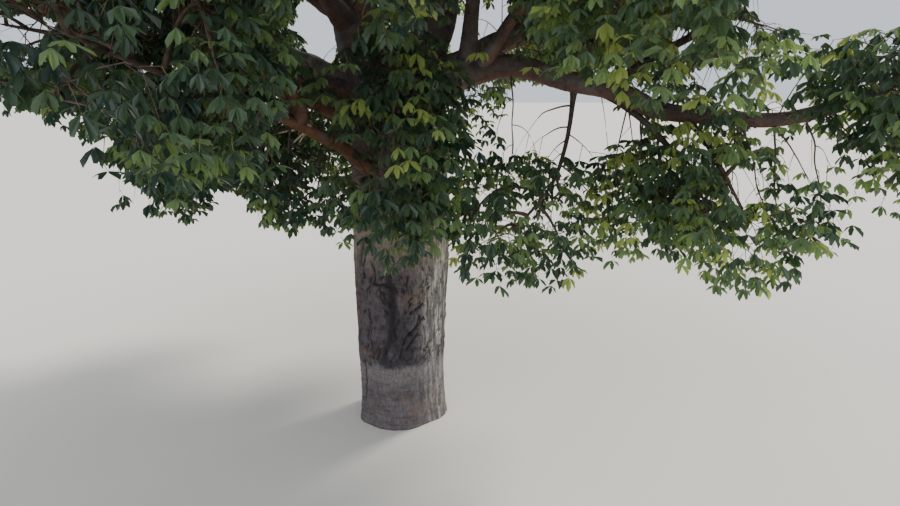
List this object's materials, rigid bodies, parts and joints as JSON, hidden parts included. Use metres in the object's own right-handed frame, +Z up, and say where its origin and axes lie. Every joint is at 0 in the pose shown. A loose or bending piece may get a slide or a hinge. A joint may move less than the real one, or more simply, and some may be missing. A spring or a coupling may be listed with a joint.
{
  "type": "baobab tree",
  "caption": "Broad baobab rooted in the ground: a stout pillar of a trunk, long tapering boughs and a wide, open crown of drooping foliage in separate masses.",
  "frame": {"origin": "centre of the flat cut under the trunk, at ground level", "axes": "+Z up along the trunk; +X to the right and +Y away from someone who faces the trunk as the picture does"},
  "size_m": [14.1063, 11.2648, 10.403],
  "materials": {
    "trunk_bark": "rough grey-brown bark",
    "bough_bark": "smoother red-brown bark",
    "foliage": "green leaves, slightly glossy"
  },
  "bodies": {
    "root": {"trunk": "trunk_bark", "bough_back": "bough_bark", "bough_back_left": "bough_bark", "bough_back_right": "bough_bark", "bough_front": "bough_bark", "bough_front_left": "bough_bark", "bough_left": "bough_bark", "bough_left_front": "bough_bark", "bough_right_long": "bough_bark", "bough_right_upper": "bough_bark", "leader_left": "bough_bark", "leader_right": "bough_bark", "limb_back_left_upper": "bough_bark", "limb_back_low": "bough_bark", "limb_back_right_upper": "bough_bark", "limb_front_left_upper": "bough_bark", "limb_front_low": "bough_bark", "limb_left_low": "bough_bark", "limb_left_upper": "bough_bark", "limb_right_back": "bough_bark", "limb_right_droop": "bough_bark", "limb_right_hanging": "bough_bark", "limb_right_middle": "bough_bark", "limb_right_outer": "bough_bark", "limb_right_riser": "bough_bark", "limb_right_rising": "bough_bark", "mass_back": "foliage", "mass_back_left": "foliage", "mass_back_left_upper": "foliage", "mass_back_low": "foliage", "mass_back_right": "foliage", "mass_back_right_upper": "foliage", "mass_front": "foliage", "mass_front_left": "foliage", "mass_front_left_upper": "foliage", "mass_front_right": "foliage", "mass_front_right_upper": "foliage", "mass_left": "foliage", "mass_left_front": "foliage", "mass_left_low": "foliage", "mass_left_upper": "foliage", "mass_right": "foliage", "mass_right_back": "foliage", "mass_right_hanging": "foliage", "mass_right_low": "foliage", "mass_right_middle": "foliage", "mass_right_outer": "foliage", "mass_right_upper": "foliage", "mass_top_left": "foliage", "mass_top_right": "foliage", "mass_trunk_front": "foliage"}
  },
  "joints": []
}
